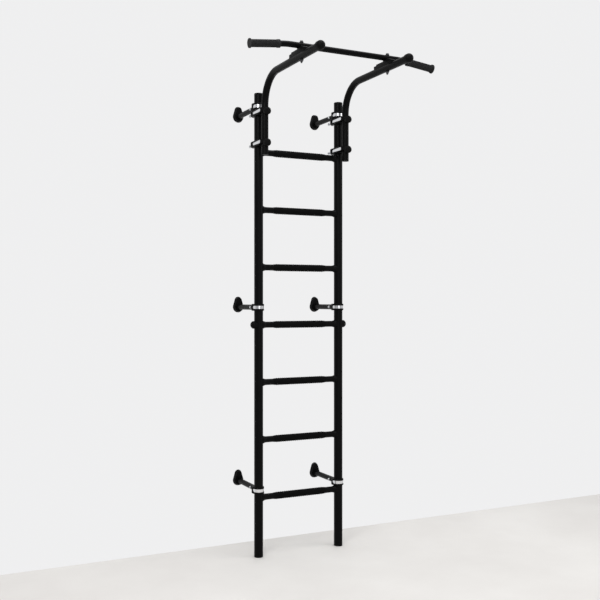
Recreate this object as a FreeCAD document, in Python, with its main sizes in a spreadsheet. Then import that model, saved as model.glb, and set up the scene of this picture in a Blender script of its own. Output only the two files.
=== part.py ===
"""Wall bars with a height-adjustable pull-up bar.

Frame: +X to the right, +Y into the wall, +Z up. The origin lies where the wall meets the floor, midway
between the two uprights, so the whole object stands at negative Y. Millimetres throughout.
"""
import FreeCAD, Part
import Sketcher
import math
import os
import re

# name, size, what it sets
SIZES = [
    # The ladder
    ("rung_pitch", 273.0, "height from one rung to the next"),
    ("low_margin", 281.0, "lowest rung above the floor"),
    ("top_margin", 278.0, "top of the uprights above the highest rung"),
    ("upright_spacing", 430.4, "between the axes of the uprights"),
    ("wall_distance", 258.0, "from the wall to the plane of the ladder"),
    ("upright_diameter", 42.4, "outside of an upright"),
    ("upright_wall", 2.6, "tube wall"),
    ("seam_rise", 30.0, "joint of the upright sections above the middle rung"),
    ("coupler_length", 160.0, "sleeve inside that joint"),
    ("coupler_wall", 3.0, "its tube wall"),
    ("plug_clearance", 0.1, "radial gap of a part that is pushed into or over a tube"),
    ("top_cap_thickness", 5.0, "cap on an upright"),
    ("top_cap_rounding", 2.5, "its rounded edge"),
    ("foot_thickness", 4.0, "foot under an upright"),
    ("foot_rounding", 1.0, "its rounded edge"),
    ("plug_depth", 20.0, "how far caps and feet reach into the tube"),
    ("plug_wall", 2.5, "wall of that plug"),
    # Rungs and their grips
    ("rung_diameter", 29.0, "outside of a rung"),
    ("rung_wall", 2.0, "tube wall"),
    ("flare_diameter", 39.0, "flared end of a rung"),
    ("flare_length", 19.0, "length of the flare"),
    ("grip_length", 276.0, "ribbed sleeve on a rung"),
    ("grip_diameter", 32.4, "sleeve between its ribs"),
    ("grip_taper", 10.0, "tapered end of the sleeve"),
    ("grip_edge", 0.7, "thickness of its rubber at that end"),
    ("rib_pitch", 11.0, "from one rib to the next"),
    ("rib_width", 5.0, "width of a rib"),
    ("rib_height", 1.1, "height of a rib"),
    # Through-bolts of the middle rung
    ("rung_bolt_diameter", 8.0, "bolt that holds an end of the middle rung"),
    ("insert_length", 34.0, "threaded insert inside the end of the middle rung"),
    ("insert_setback", 0.5, "its outer end in from the upright"),
    ("rung_bolt_grip", 27.2, "how far that bolt reaches beyond the upright"),
    ("side_cap_diameter", 36.0, "domed cap over that bolt"),
    ("side_cap_height", 20.0, "how far it stands out from the upright"),
    ("side_cap_dome", 12.4, "its dome"),
    ("side_cap_wall", 3.0, "its wall"),
    ("side_cap_hollow", 1.0, "how far its hollow reaches into the dome"),
    # Wall brackets
    ("low_bracket_rise", 35.5, "lowest brackets above the lowest rung"),
    ("middle_bracket_rise", 83.0, "middle brackets above the middle rung"),
    ("top_bracket_drop", 63.0, "highest brackets below the top of the uprights"),
    ("stay_diameter", 25.4, "tube from the wall to the upright"),
    ("stay_wall", 2.0, "its wall"),
    ("stay_setback", 41.0, "end of that tube behind the upright's axis"),
    ("plate_thickness", 5.0, "wall plate"),
    ("plate_inset", 4.5, "wall plate inside the outline of its cover"),
    ("screw_diameter", 6.0, "wall screw"),
    ("screw_clearance", 0.25, "radial gap round it in the plate"),
    ("screw_rise", 19.0, "lower screw above the stay's axis"),
    ("screw_spacing", 18.0, "between the two screws"),
    ("cover_low_radius", 27.7, "lower round end of the cover"),
    ("cover_top_radius", 18.5, "upper round end of the cover"),
    ("cover_rise", 33.0, "between the centres of those two ends"),
    ("cover_depth", 17.0, "from the wall to the cover's front"),
    ("cover_slope", 5.0, "how much the front's outline is smaller all round"),
    ("cover_wall", 2.0, "its wall"),
    ("cover_boss_length", 7.0, "collar round the stay on the cover's front"),
    ("cover_boss_wall", 3.0, "wall of that collar"),
    ("slide_clearance", 0.35, "radial gap of a part that slides along a tube"),
    # Polished straps, the liners they run in and their pinch bolts
    ("strap_height", 14.0, "polished strap"),
    ("strap_thickness", 2.0, "its sheet"),
    ("strap_gap", 1.8, "liner left under the strap, on the upright"),
    ("strap_straight", 20.0, "straight run of a bracket's strap behind the upright's axis"),
    ("strap_ear_gap", 6.0, "between the two ears of that strap, inside the stay"),
    ("strap_window", 16.0, "a bracket's strap shows as far as this behind the upright's axis"),
    ("window_clearance", 0.3, "gap round a strap in its liner"),
    ("liner_height", 32.5, "black liner of a bracket"),
    ("liner_lip", 1.0, "how far it stands out beyond its strap in front"),
    ("liner_flange", 4.0, "how far it stands out beyond its strap at the back"),
    ("liner_tail", 11.5, "how far its back end is drawn out towards the wall"),
    ("liner_rounding", 3.0, "its rounded edges"),
    ("pinch_reach", 68.5, "pinch bolt of a bracket behind the upright's axis"),
    ("pinch_setback", 9.0, "pinch bolt in from the end of a strap's ears"),
    ("pinch_diameter", 6.0, "pinch bolt"),
    ("pinch_spare", 4.0, "thread of a pinch bolt beyond its nut"),
    # Double clamps that hold the arms
    ("arm_gap", 35.3, "between the tube of an upright and the tube of an arm"),
    ("upper_clamp_drop", 94.0, "upper double clamp below the top of the uprights"),
    ("lower_clamp_drop", 240.5, "lower double clamp below the top of the uprights"),
    ("clamp_height", 28.0, "black liner of a double clamp"),
    ("clamp_tail", 20.5, "how far its back end is drawn out towards the wall"),
    ("clamp_flange", 5.0, "how far it stands out beyond its strap at the back"),
    ("clamp_rounding", 6.0, "its rounded edges"),
    ("clamp_step", 16.0, "from the arm's axis back to where it has its full height"),
    ("clamp_window", 22.0, "its strap shows as far as this behind the upright's axis"),
    ("clamp_window_front", 3.0, "and as far as this in front of the arm's axis"),
    ("clamp_ear_gap", 18.0, "between the ears of its strap"),
    ("clamp_pinch", 77.0, "its pinch bolt behind the upright's axis"),
    ("nose_wall", 1.4, "black nose piece over the front of the strap"),
    ("nose_lip", 2.2, "how much higher and lower than the strap it is"),
    ("nose_knob_diameter", 35.5, "its round knob"),
    ("nose_edge", 4.0, "from the arm's axis back to the nose's edges"),
    ("nose_clearance", 0.2, "gap between nose and strap"),
    ("nose_knob_drop", 6.5, "axis of the knob below the middle of the strap"),
    ("nose_knob_height", 4.4, "straight side of the knob in front of the nose"),
    ("nose_knob_dome", 5.0, "dome of the knob"),
    # The arms
    ("arm_diameter", 33.0, "tube of an arm"),
    ("arm_wall", 2.5, "its wall"),
    ("arm_plug_rim", 3.0, "rim of the plug below its lower end"),
    ("arm_drop", 298.0, "lower end of an arm below the top of the uprights"),
    ("arm_rise", 64.0, "level part of an arm above the top of the uprights"),
    ("arm_bend", 135.0, "bend radius of an arm, on its axis"),
    ("arm_reach", 632.0, "end of an arm's tube in front of the ladder"),
    ("tip_cap_diameter", 40.0, "domed cap on the end of an arm"),
    ("tip_cap_skirt", 14.0, "its straight part over the tube"),
    ("tip_cap_dome", 19.0, "its dome"),
    # The bar
    ("bar_reach", 457.0, "axis of the bar in front of the ladder"),
    ("bar_rise", 42.7, "axis of the bar above the axis of an arm"),
    ("bar_diameter", 25.4, "tube of the bar"),
    ("bar_wall", 2.5, "its wall"),
    ("bar_straight", 264.0, "from the middle of the bar to the start of its bend"),
    ("bar_bend_radius", 330.0, "bend radius of the bar"),
    ("bar_bend_angle", 6.7, "how far its ends point down, in degrees"),
    ("bar_grip_start", 16.5, "from the end of the bend to the grip"),
    ("bar_grip_length", 140.0, "grip on the end of the bar"),
    ("bar_grip_floor", 4.0, "its closed outer end"),
    ("bar_grip_diameter", 32.6, "its outside"),
    ("bar_flange_diameter", 40.5, "flange at its outer end"),
    ("bar_flange_thickness", 5.0, "that flange"),
    ("bar_ring_diameter", 35.4, "the two rings at its inner end"),
    ("bar_ring_width", 4.0, "one ring"),
    ("flute_radius", 1.1, "lengthwise grooves of the grip"),
    ("flute_margin", 4.0, "plain grip beyond either end of a groove"),
    ("saddle_width", 30.0, "saddle between the arm and the bar"),
    ("saddle_back", 92.0, "saddle behind the bar"),
    ("saddle_front", 52.0, "saddle in front of the bar"),
    ("saddle_step", 7.5, "height of the step at the saddle's back end above the arm"),
    ("saddle_step_length", 20.0, "length of that step"),
    ("saddle_shelf", 12.8, "height of the saddle from there to its seat above the arm"),
    ("saddle_seat_back", 14.0, "the seat's back face behind the bar's axis"),
    ("saddle_height", 18.7, "height of the seat beside the bar above the arm"),
    ("saddle_nose_height", 7.0, "height of its front end above the arm"),
    ("saddle_seat", 24.0, "level top of the saddle in front of the bar's axis"),
    ("saddle_skirt", 9.0, "how far it reaches down the arm's sides from the top of the tube"),
    ("bar_bolt_diameter", 8.0, "upright bolt through bar, saddle and arm"),
    ("bar_bolt_spare", 6.0, "its thread beyond the nut"),
    ("washer_diameter", 18.0, "washer under its head and its nut"),
    ("washer_thickness", 3.0, "that washer over the top of the tube"),
    ("washer_rim", 2.0, "how far its rim reaches down the tube's sides"),
]
NAMES = [name for name, size, meaning in SIZES]

RUNG_COUNT = 7
FLUTE_COUNT = 28
SIDES = {"left": -1, "right": 1}

# Sizes and places that follow from the sheet, as expressions
UPRIGHT_R = "upright_diameter / 2"
BORE_R = "(upright_diameter / 2 - upright_wall)"
TOP = f"(low_margin + {RUNG_COUNT - 1} * rung_pitch + top_margin)"
MIDDLE = f"(low_margin + {(RUNG_COUNT - 1) // 2} * rung_pitch)"
SEAM = f"({MIDDLE} + seam_rise)"
ARM_R = "arm_diameter / 2"
ARM_Y = "(upright_diameter / 2 + arm_gap + arm_diameter / 2)"
ARM_Z = f"({TOP} + arm_rise)"
BAR_Z = f"({TOP} + arm_rise + bar_rise)"
BAR_R = "bar_diameter / 2"
STRAP_IN = "(upright_diameter / 2 + strap_gap)"
BRACKETS = {
    "low": "(low_margin + low_bracket_rise)",
    "middle": f"({MIDDLE} + middle_bracket_rise)",
    "top": f"({TOP} - top_bracket_drop)",
}
CLAMPS = {
    "upper": f"({TOP} - upper_clamp_drop)",
    "lower": f"({TOP} - lower_clamp_drop)",
}

# Lengths of cuts, longer than whatever they go through
THROUGH = 4000
CUTTER = 60

# Standard fasteners: across the flats and height of the head or nut, by thread
HEX = {6: (10.0, 4.0), 8: (13.0, 5.5)}

doc = FreeCAD.newDocument("pull_up_bar")
sheet = doc.addObject("Spreadsheet::Sheet", "Sizes")
for row, (name, size, meaning) in enumerate(SIZES, start=1):
    sheet.set(f"A{row}", name)
    sheet.set(f"B{row}", str(size))
    sheet.set(f"C{row}", meaning)
    sheet.setAlias(f"B{row}", name)
doc.recompute()


def bound(text):
    """The expression with every name of the sheet written out in full."""
    return re.sub(r"\b(" + "|".join(NAMES) + r")\b", r"Sizes.\1", str(text))


def size_of(text):
    """What an expression comes to."""
    return float(getattr(sheet.evalExpression(bound(text)), "Value", sheet.evalExpression(bound(text))))


def bind(thing, prop, text):
    thing.setExpression(prop, bound(text))


def place(thing, x="0", y="0", z="0", axis=(0, 0, 1), angle=0):
    """Put a piece at a point, after turning it about an axis."""
    turn = FreeCAD.Rotation(FreeCAD.Vector(*axis), angle)
    thing.Placement = FreeCAD.Placement(FreeCAD.Vector(), turn)
    for letter, text in zip("xyz", (x, y, z)):
        bind(thing, f"Placement.Base.{letter}", text)
    return thing


def new_body(label):
    body = doc.addObject("PartDesign::Body", label)
    body.Label = label
    return body


def sketch_on(body, plane, lift="0"):
    """An empty sketch on one of the body's own planes, or lifted off it along the plane's normal."""
    sketch = body.newObject("Sketcher::SketchObject", "Sketch")
    support = next(f for f in body.Origin.OriginFeatures if f.Role == plane + "_Plane")
    sketch.AttachmentSupport = [(support, "")]
    sketch.MapMode = "FlatFace"
    if lift != "0":
        bind(sketch, "AttachmentOffset.Base.z", lift)
    return sketch


def fix(sketch, edge, point, x, y, axes="xy"):
    """Tie a point of a sketch to expressions for its two coordinates."""
    for letter, text, kind, line in (("x", x, "DistanceX", -2), ("y", y, "DistanceY", -1)):
        if letter not in axes:
            continue
        if str(text) == "0":
            sketch.addConstraint(Sketcher.Constraint("PointOnObject", edge, point, line))
        else:
            sketch.addConstraint(Sketcher.Constraint(kind, -1, 1, edge, point, size_of(text)))
            bind(sketch, f"Constraints[{sketch.ConstraintCount - 1}]", text)


def circle(sketch, x, y, radius):
    centre = FreeCAD.Vector(size_of(x), size_of(y), 0)
    edge = sketch.addGeometry(Part.Circle(centre, FreeCAD.Vector(0, 0, 1), size_of(radius)))
    fix(sketch, edge, 3, x, y)
    sketch.addConstraint(Sketcher.Constraint("Radius", edge, size_of(radius)))
    bind(sketch, f"Constraints[{sketch.ConstraintCount - 1}]", radius)


def outline(sketch, steps, closed=True):
    """A chain of lines and arcs. A step is (x, y), and the edge that leaves it is a line, or
    (x, y, centre x, centre y, turn), and the edge is an arc that turns left or right."""
    points = [FreeCAD.Vector(size_of(step[0]), size_of(step[1]), 0) for step in steps]
    edges = []
    last = len(steps) if closed else len(steps) - 1
    for number in range(last):
        step, start, end = steps[number], points[number], points[(number + 1) % len(points)]
        if len(step) == 2:
            edge = sketch.addGeometry(Part.LineSegment(start, end))
            edges.append((edge, 1, 2))
        else:
            centre = FreeCAD.Vector(size_of(step[2]), size_of(step[3]), 0)
            first, second = (start, end) if step[4] == "left" else (end, start)
            angles = [math.atan2((p - centre).y, (p - centre).x) for p in (first, second)]
            ring = Part.Circle(centre, FreeCAD.Vector(0, 0, 1), (start - centre).Length)
            edge = sketch.addGeometry(Part.ArcOfCircle(ring, angles[0], angles[1]))
            edges.append((edge, 1, 2) if step[4] == "left" else (edge, 2, 1))
            flat = abs((end - start).x) > abs((end - start).y)
            fix(sketch, edge, 3, step[2], step[3], "y" if flat else "x")
        fix(sketch, edge, edges[-1][1], step[0], step[1])
    for one, other in zip(edges, edges[1:] + edges[:1] if closed else edges[1:]):
        sketch.addConstraint(Sketcher.Constraint("Coincident", one[0], one[2], other[0], other[1]))
    if not closed:
        fix(sketch, edges[-1][0], edges[-1][2], steps[-1][0], steps[-1][1])


def pad(body, sketch, length, both_ways=False):
    feature = body.newObject("PartDesign::Pad", "Pad")
    feature.Profile = sketch
    bind(feature, "Length", length)
    if both_ways:
        feature.SideType = "Symmetric"
    return feature


def pocket_through(body, sketch):
    """Cut a sketch right through the body, both ways."""
    feature = body.newObject("PartDesign::Pocket", "Pocket")
    feature.Profile = sketch
    feature.SideType = "Symmetric"
    feature.Length = THROUGH
    return feature


def revolve(body, sketch, axis="H_Axis", kind="Revolution"):
    feature = body.newObject("PartDesign::" + kind, kind)
    feature.Profile = sketch
    feature.ReferenceAxis = (sketch, [axis])
    feature.Angle = 360
    return feature


def round_edges(body, radius, chosen):
    """Fillet the edges of the body so far whose bounding box is chosen."""
    doc.recompute()
    tip = body.Tip
    names = [f"Edge{i}" for i, edge in enumerate(tip.Shape.Edges, start=1) if chosen(edge.BoundBox)]
    feature = body.newObject("PartDesign::Fillet", "Fillet")
    feature.Base = (tip, names)
    bind(feature, "Radius", radius)


def egg(low_radius, high_radius, rise):
    """Outline round a circle at the origin and a second one above it, for outline()."""
    lean = f"asin(({low_radius} - {high_radius}) / ({rise}))"
    low_x, low_y = f"({low_radius}) * cos({lean})", f"({low_radius}) * sin({lean})"
    high_x, high_y = f"({high_radius}) * cos({lean})", f"({rise}) + ({high_radius}) * sin({lean})"
    return [
        (low_x, low_y),
        (high_x, high_y, "0", rise, "left"),
        (f"-({high_x})", high_y),
        (f"-({low_x})", low_y, "0", "0", "left"),
    ]


def group(label, pieces):
    """Several separate pieces in one node."""
    compound = doc.addObject("Part::Compound", label)
    compound.Label = label
    compound.Links = pieces
    return compound


def hex_bolt(label, diameter, length, thread):
    """Bolt with its shank along -Z from the underside of its head at the origin."""
    flats, height = HEX[thread]
    head = doc.addObject("Part::Prism", label + "_head")
    head.Circumradius = flats / math.sqrt(3)
    head.Height = height
    shank = doc.addObject("Part::Cylinder", label + "_shank")
    bind(shank, "Radius", f"{diameter} / 2")
    bind(shank, "Height", length)
    bind(shank, "Placement.Base.z", f"-({length})")
    bolt = doc.addObject("Part::Fuse", label)
    bolt.Base, bolt.Tool = head, shank
    return bolt


def hex_nut(label, diameter, thread):
    """Nut that stands on the origin, upwards."""
    flats, height = HEX[thread]
    block = doc.addObject("Part::Prism", label + "_block")
    block.Circumradius = flats / math.sqrt(3)
    block.Height = height
    hole = doc.addObject("Part::Cylinder", label + "_hole")
    bind(hole, "Radius", f"{diameter} / 2 + plug_clearance")
    hole.Height = height
    nut = doc.addObject("Part::Cut", label)
    nut.Base, nut.Tool = block, hole
    return nut


def tube(label, radius, bore, x, z, length):
    """Plain upright tube on a vertical axis in the plane of the ladder."""
    body = new_body(label)
    section = sketch_on(body, "XY")
    circle(section, "0", "0", radius)
    circle(section, "0", "0", bore)
    pad(body, section, length)
    return place(body, x, "-wall_distance", z)


def cross_hole(body, along, height, radius):
    """Hole along X, at a place given in the body's own Y and Z."""
    sketch = sketch_on(body, "YZ")
    circle(sketch, along, height, radius)
    pocket_through(body, sketch)


def upright_plug(label, x, z, thickness, rounding, upside_down):
    """Cap or foot: a disc as wide as the tube, with a hollow plug below it."""
    plug = f"({BORE_R} - plug_clearance)"
    edge = f"{thickness} - {rounding}"
    body = new_body(label)
    profile = sketch_on(body, "XZ")
    outline(profile, [
        (f"{plug} - plug_wall", "-plug_depth"),
        (plug, "-plug_depth"),
        (plug, "0"),
        (UPRIGHT_R, "0"),
        (UPRIGHT_R, edge, f"{UPRIGHT_R} - {rounding}", edge, "left"),
        (f"{UPRIGHT_R} - {rounding}", thickness),
        ("0", thickness),
        ("0", f"{thickness} / 2"),
        (f"{plug} - plug_wall", f"{thickness} / 2"),
    ])
    revolve(body, profile, "V_Axis")
    return place(body, x, "-wall_distance", z, (1, 0, 0), 180 if upside_down else 0)


def rung(label, z):
    """Tube between the uprights with flared ends, cut to fit round them."""
    half, radius, wide = "(upright_spacing / 2)", "rung_diameter / 2", "flare_diameter / 2"
    face = f"({half} - {UPRIGHT_R})"
    start = f"({face} - flare_length)"
    rise = f"({wide} - {radius})"
    sweep = f"((flare_length ^ 2 + {rise} ^ 2) / (2 * {rise}))"
    bore = f"{radius} - rung_wall"
    body = new_body(label)
    profile = sketch_on(body, "XZ")
    outline(profile, [
        (f"-{half}", bore),
        (half, bore),
        (half, wide),
        (face, wide, start, f"{radius} + {sweep}", "right"),
        (start, radius),
        (f"-{start}", radius, f"-{start}", f"{radius} + {sweep}", "right"),
        (f"-{face}", wide),
        (f"-{half}", wide),
    ])
    revolve(body, profile)
    cope = sketch_on(body, "XY")
    circle(cope, half, "0", UPRIGHT_R)
    circle(cope, f"-{half}", "0", UPRIGHT_R)
    pocket_through(body, cope)
    return place(body, "0", "-wall_distance", z)


def rung_grip(label, z):
    """Ribbed sleeve on a rung, with tapered ends."""
    half, bore, radius = "grip_length / 2", "(rung_diameter / 2 + plug_clearance)", "(grip_diameter / 2)"
    body = new_body(label)
    profile = sketch_on(body, "XZ")
    outline(profile, [
        (f"-{half}", bore),
        (half, bore),
        (half, f"{bore} + grip_edge"),
        (f"{half} - grip_taper", radius),
        (f"-({half} - grip_taper)", radius),
        (f"-{half}", f"{bore} + grip_edge"),
    ])
    revolve(body, profile)
    ribs_each_side = f"floor(({half} - grip_taper - rib_width) / rib_pitch)"
    first = f"(-{ribs_each_side} * rib_pitch)"
    sweep = "((rib_width ^ 2 / 4 + rib_height ^ 2) / (2 * rib_height))"
    root = f"{radius} - grip_edge"
    rib = sketch_on(body, "XZ")
    outline(rib, [
        (f"{first} - rib_width / 2", root),
        (f"{first} + rib_width / 2", root),
        (f"{first} + rib_width / 2", radius, first, f"{radius} + rib_height - {sweep}", "left"),
        (f"{first} - rib_width / 2", radius),
    ])
    ring = revolve(body, rib)
    ribs = body.newObject("PartDesign::LinearPattern", "LinearPattern")
    ribs.Originals = [ring]
    ribs.Direction = (rib, ["H_Axis"])
    ribs.Mode = "Spacing"
    bind(ribs, "Offset", "rib_pitch")
    bind(ribs, "Occurrences", f"2 * {ribs_each_side} + 1")
    body.Tip = ribs
    return place(body, "0", "-wall_distance", z)


def side_cap(label, side):
    """Hollow dome over the bolt of the middle rung, cut to fit the upright."""
    radius, bore = "side_cap_diameter / 2", "(side_cap_diameter / 2 - side_cap_wall)"
    tip = f"({UPRIGHT_R} + side_cap_height)"
    dome = "side_cap_dome"
    sphere = f"((({radius}) ^ 2 + {dome} ^ 2) / (2 * {dome}))"
    cavity = f"{tip} - {dome} + side_cap_hollow"
    body = new_body(label)
    profile = sketch_on(body, "XZ")
    outline(profile, [
        ("0", bore),
        (cavity, bore),
        (cavity, "0"),
        (tip, "0", f"{tip} - {sphere}", "0", "left"),
        (f"{tip} - {dome}", radius),
        ("0", radius),
    ])
    revolve(body, profile)
    cope = sketch_on(body, "XY")
    circle(cope, "0", "0", UPRIGHT_R)
    pocket_through(body, cope)
    turn = 0 if side > 0 else 180
    return place(body, f"{side} * upright_spacing / 2", "-wall_distance", MIDDLE, (0, 0, 1), turn)


def rung_insert(side):
    """Threaded plug inside the end of the middle rung."""
    length = "insert_length"
    solid = doc.addObject("Part::Cylinder", "insert_solid")
    bind(solid, "Radius", "rung_diameter / 2 - rung_wall - plug_clearance")
    bind(solid, "Height", length)
    hole = doc.addObject("Part::Cylinder", "insert_hole")
    bind(hole, "Radius", "rung_bolt_diameter / 2 + plug_clearance")
    bind(hole, "Height", length)
    insert = doc.addObject("Part::Cut", "insert")
    insert.Base, insert.Tool = solid, hole
    outer = f"(upright_spacing / 2 - {UPRIGHT_R} - insert_setback)"
    return place(insert, f"{side} * {outer}", "-wall_distance", MIDDLE, (0, 1, 0), -90 * side)


def rung_bolt(side):
    bolt = hex_bolt("rung_bolt", "rung_bolt_diameter", "upright_diameter + rung_bolt_grip", 8)
    face = f"(upright_spacing / 2 + {UPRIGHT_R})"
    return place(bolt, f"{side} * {face}", "-wall_distance", MIDDLE, (0, 1, 0), 90 * side)


# Wall brackets

FRONT_R = f"({STRAP_IN} + strap_thickness)"
EAR_IN = "(strap_ear_gap / 2)"
PINCH_HOLE = "pinch_diameter / 2 + plug_clearance"


def wall_bracket(label, side, z):
    """Wall plate with the tube that holds the upright off the wall."""
    body = new_body(label)
    plate = sketch_on(body, "XZ")
    outline(plate, egg("(cover_low_radius - plate_inset)", "(cover_top_radius - plate_inset)", "cover_rise"))
    pad(body, plate, "plate_thickness")
    section = sketch_on(body, "XZ")
    circle(section, "0", "0", "stay_diameter / 2")
    circle(section, "0", "0", "stay_diameter / 2 - stay_wall")
    pad(body, section, "wall_distance - stay_setback")
    screws = sketch_on(body, "XZ")
    for height in ("screw_rise", "screw_rise + screw_spacing"):
        circle(screws, "0", height, "screw_diameter / 2 + screw_clearance")
    pocket_through(body, screws)
    cross_hole(body, "-(wall_distance - pinch_reach)", "0", PINCH_HOLE)
    return place(body, f"{side} * upright_spacing / 2", "0", z)


def wall_cover(label, side, z):
    """Hollow egg-shaped cover that hides the wall plate and slides along the bracket's tube."""
    body = new_body(label)

    def loft(kind, inset, depth):
        base = sketch_on(body, "XZ")
        outline(base, egg(f"(cover_low_radius - {inset})", f"(cover_top_radius - {inset})", "cover_rise"))
        front = sketch_on(body, "XZ", depth)
        slope = f"({inset} + cover_slope)"
        outline(front, egg(f"(cover_low_radius - {slope})", f"(cover_top_radius - {slope})", "cover_rise"))
        feature = body.newObject("PartDesign::" + kind, kind)
        feature.Profile = base
        feature.Sections = [front]

    loft("AdditiveLoft", "0", "cover_depth")
    loft("SubtractiveLoft", "cover_wall", "cover_depth - cover_wall")
    boss = sketch_on(body, "XZ", "cover_depth - cover_wall")
    circle(boss, "0", "0", "stay_diameter / 2 + slide_clearance + cover_boss_wall")
    pad(body, boss, "cover_wall + cover_boss_length")
    hole = sketch_on(body, "XZ")
    circle(hole, "0", "0", "stay_diameter / 2 + slide_clearance")
    pocket_through(body, hole)
    return place(body, f"{side} * upright_spacing / 2", "0", z)


def strap(label, bend, ear_gap, pinch, spare="0"):
    """Polished strap, bent round its front at the origin and drawn in behind the tube, with two
    straight ears. With something to spare all round, it is the slot that the strap runs in."""
    inner, outer = f"({STRAP_IN} - {spare})", f"({FRONT_R} + {spare})"
    ear_in, ear_out = f"({ear_gap} - {spare})", f"({ear_gap} + strap_thickness + {spare})"
    slack, shift = f"{spare} * tan(22.5)", f"(strap_thickness + {spare}) * tan(22.5)"
    second = f"({bend} + {STRAP_IN} - {ear_gap})"
    end = f"({pinch} + pinch_setback)"
    body = new_body(label)
    profile = sketch_on(body, "XY")
    outline(profile, [
        (ear_out, end),
        (ear_out, f"{second} + {shift}"),
        (outer, f"{bend} + {shift}"),
        (outer, "0", "0", "0", "right"),
        (f"-{outer}", "0"),
        (f"-{outer}", f"{bend} + {shift}"),
        (f"-{ear_out}", f"{second} + {shift}"),
        (f"-{ear_out}", end),
        (f"-{ear_in}", end),
        (f"-{ear_in}", f"{second} - {slack}"),
        (f"-{inner}", f"{bend} - {slack}"),
        (f"-{inner}", "0", "0", "0", "left"),
        (inner, "0"),
        (inner, f"{bend} - {slack}"),
        (ear_in, f"{second} - {slack}"),
        (ear_in, end),
    ])
    pad(body, profile, f"strap_height + 2 * {spare}", both_ways=True)
    if spare == "0":
        cross_hole(body, pinch, "0", PINCH_HOLE)
    return body


def window(front, back):
    """Slot with round ends, seen from the side and right through a clamp, that shows its strap."""
    body = new_body("window")
    half = "(strap_height / 2 + window_clearance)"
    ends = sketch_on(body, "YZ")
    outline(ends, [
        (f"{front} + {half}", f"-{half}"),
        (f"{back} - {half}", f"-{half}", f"{back} - {half}", "0", "left"),
        (f"{back} - {half}", half),
        (f"{front} + {half}", half, f"{front} + {half}", "0", "left"),
    ])
    pad(body, ends, f"4 * {FRONT_R}", both_ways=True)
    return body


def grooved(label, block, front, back, bend, ear_gap, pinch):
    """A liner's block, less its window down to the strap's inside, and less the strap's slot."""
    core = new_body("window_core")
    inside = sketch_on(core, "XY")
    outline(inside, egg(f"({STRAP_IN} - plug_clearance)", f"({STRAP_IN} - plug_clearance)", bend))
    pad(core, inside, "2 * liner_height", both_ways=True)
    recess = doc.addObject("Part::Cut", "recess")
    recess.Base, recess.Tool = window(front, back), core
    tools = doc.addObject("Part::Fuse", "grooves")
    tools.Base, tools.Tool = recess, strap("strap_slot", bend, ear_gap, pinch, "window_clearance")
    liner = doc.addObject("Part::Cut", label)
    liner.Base, liner.Tool = block, tools
    return liner


def opening(body, start, half, end):
    """Gap through a liner's back end, between its strap's ears."""
    gap = sketch_on(body, "XY")
    outline(gap, [(half, start), (half, end), (f"-{half}", end), (f"-{half}", start)])
    pocket_through(body, gap)


def bracket_liner(side, z):
    """Collar round the upright that its strap runs in, open towards the wall between the strap's ears."""
    body = new_body("liner_block")
    block = sketch_on(body, "XY")
    outline(block, egg(f"({FRONT_R} + liner_lip)", f"({FRONT_R} + liner_flange)", "liner_tail"))
    pad(body, block, "liner_height", both_ways=True)
    round_edges(body, "liner_rounding", lambda box: box.ZLength < 0.01)
    hole = sketch_on(body, "XY")
    circle(hole, "0", "0", UPRIGHT_R)
    pocket_through(body, hole)
    opening(body, "0", EAR_IN, "stay_setback")
    front = f"-3 * {FRONT_R}"
    liner = grooved("bracket_liner", body, front, "strap_window", "strap_straight", EAR_IN, "pinch_reach")
    return place(liner, f"{side} * upright_spacing / 2", "-wall_distance", z)


def pinch_bolt(side, y, z, half):
    """Bolt through a strap's ears, with its head half the given width out from the middle."""
    bolt = hex_bolt("pinch_bolt", "pinch_diameter", f"2 * {half} + {HEX[6][1]} + pinch_spare", 6)
    return place(bolt, f"{side} * (upright_spacing / 2 + {half})", y, z, (0, 1, 0), 90 * side)


def pinch_nut(side, y, z, half):
    nut = hex_nut("pinch_nut", "pinch_diameter", 6)
    return place(nut, f"{side} * (upright_spacing / 2 - {half})", y, z, (0, 1, 0), -90 * side)


# Double clamps: their pieces have the arm's axis as their own origin

CLAMP_LENGTH = f"({ARM_Y} + clamp_tail)"
CLAMP_BEND = f"({CLAMP_LENGTH} + {STRAP_IN} * (sqrt(2) - 1))"
CLAMP_EAR = "(clamp_ear_gap / 2)"
CLAMP_PINCH = f"({ARM_Y} + clamp_pinch)"
CLAMP_WINDOW = ("-clamp_window_front", f"({ARM_Y} + clamp_window)")
ARM_PLACE_Y = f"-(wall_distance + {ARM_Y})"


def clamp_liner(side, z):
    """Black block that holds upright and arm apart, and that the strap runs in."""
    body = new_body("clamp_block")
    block = sketch_on(body, "XY")
    outline(block, egg(FRONT_R, f"({FRONT_R} + clamp_flange)", CLAMP_LENGTH))
    pad(body, block, "clamp_height", both_ways=True)
    round_edges(body, "clamp_rounding", lambda box: box.ZLength < 0.01)
    front = sketch_on(body, "YZ")
    shelf, reach = "(strap_height / 2 + nose_lip)", f"(2 * {FRONT_R})"
    for low, high in ((shelf, "clamp_height"), ("-clamp_height", f"-{shelf}")):
        outline(front, [("clamp_step", low), ("clamp_step", high), (f"-{reach}", high), (f"-{reach}", low)])
    pocket_through(body, front)
    holes = sketch_on(body, "XY")
    circle(holes, "0", "0", f"{ARM_R} + slide_clearance")
    circle(holes, "0", ARM_Y, UPRIGHT_R)
    pocket_through(body, holes)
    opening(body, ARM_Y, CLAMP_EAR, f"({CLAMP_LENGTH} + 2 * {FRONT_R})")
    liner = grooved("clamp_liner", body, *CLAMP_WINDOW, CLAMP_BEND, CLAMP_EAR, CLAMP_PINCH)
    return place(liner, f"{side} * upright_spacing / 2", ARM_PLACE_Y, z)


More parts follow.
